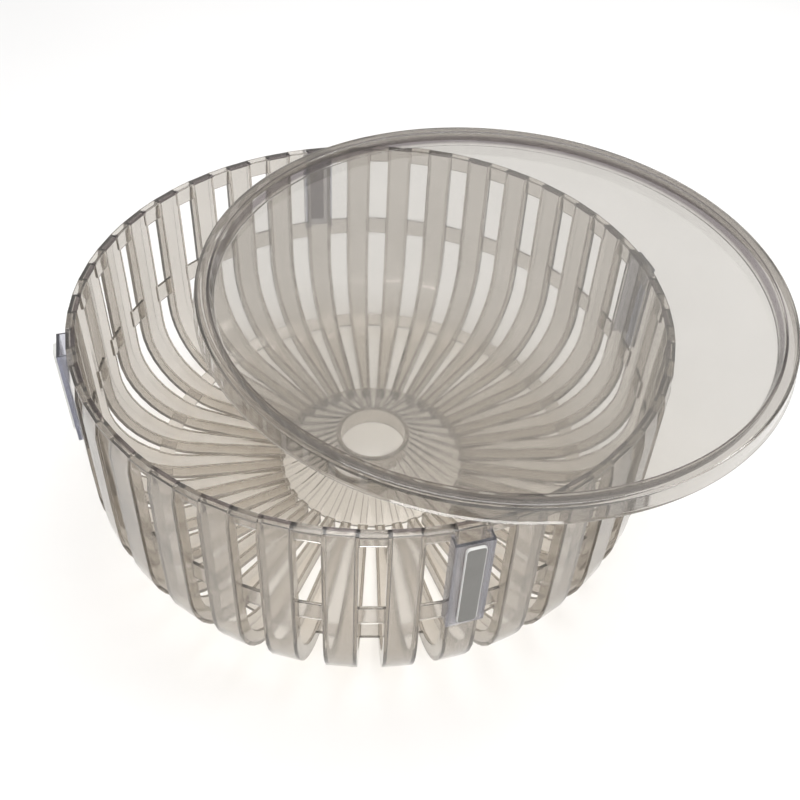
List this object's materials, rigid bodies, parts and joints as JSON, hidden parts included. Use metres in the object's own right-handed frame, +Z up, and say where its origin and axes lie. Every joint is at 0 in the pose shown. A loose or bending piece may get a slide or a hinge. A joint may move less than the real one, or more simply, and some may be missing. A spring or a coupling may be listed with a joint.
{
  "type": "slotted container with tray lid",
  "caption": "Round see-through slotted container with a raised central hub, hinged side clips and a loose tray lid lying off centre on its rim.",
  "frame": {"origin": "centre of the underside of the bounding box, on the surface the container stands on; the container's own axis is at x -0.0619, y -0.0162, because the lid lies off to one side", "axes": "+Z up along the container's axis, -Y towards the front clip, +X towards the side where the lid overhangs"},
  "size_m": [0.7424, 0.6508, 0.2823],
  "materials": {
    "container_plastic": "gloss",
    "lid_plastic": "gloss",
    "clip_plastic": "gloss",
    "pad_grey": "satin"
  },
  "bodies": {
    "container": {"basket": "container_plastic"},
    "lid": {"lid": "lid_plastic"},
    "clip_front": {"clip_front": "clip_plastic", "pad_front": "pad_grey"},
    "clip_right": {"clip_right": "clip_plastic", "pad_right": "pad_grey"},
    "clip_back": {"clip_back": "clip_plastic", "pad_back": "pad_grey"},
    "clip_left": {"clip_left": "clip_plastic", "pad_left": "pad_grey"}
  },
  "joints": [
    {"name": "lid_lift", "type": "slide", "parent": "container", "child": "lid", "axis": [0, 0, 1], "range_m": [0, 0.12]},
    {"name": "clip_front_swing", "type": "hinge", "parent": "container", "child": "clip_front", "pos_m": [0.04141, -0.30017, 0.253], "axis": [-0.9397, -0.342, 0], "range_deg": [0, 40]},
    {"name": "clip_right_swing", "type": "hinge", "parent": "container", "child": "clip_right", "pos_m": [0.22203, 0.08716, 0.253], "axis": [0.342, -0.9397, 0], "range_deg": [0, 40]},
    {"name": "clip_back_swing", "type": "hinge", "parent": "container", "child": "clip_back", "pos_m": [-0.16531, 0.26778, 0.253], "axis": [0.9397, 0.342, 0], "range_deg": [0, 40]},
    {"name": "clip_left_swing", "type": "hinge", "parent": "container", "child": "clip_left", "pos_m": [-0.34592, -0.11956, 0.253], "axis": [-0.342, 0.9397, 0], "range_deg": [0, 40]}
  ]
}
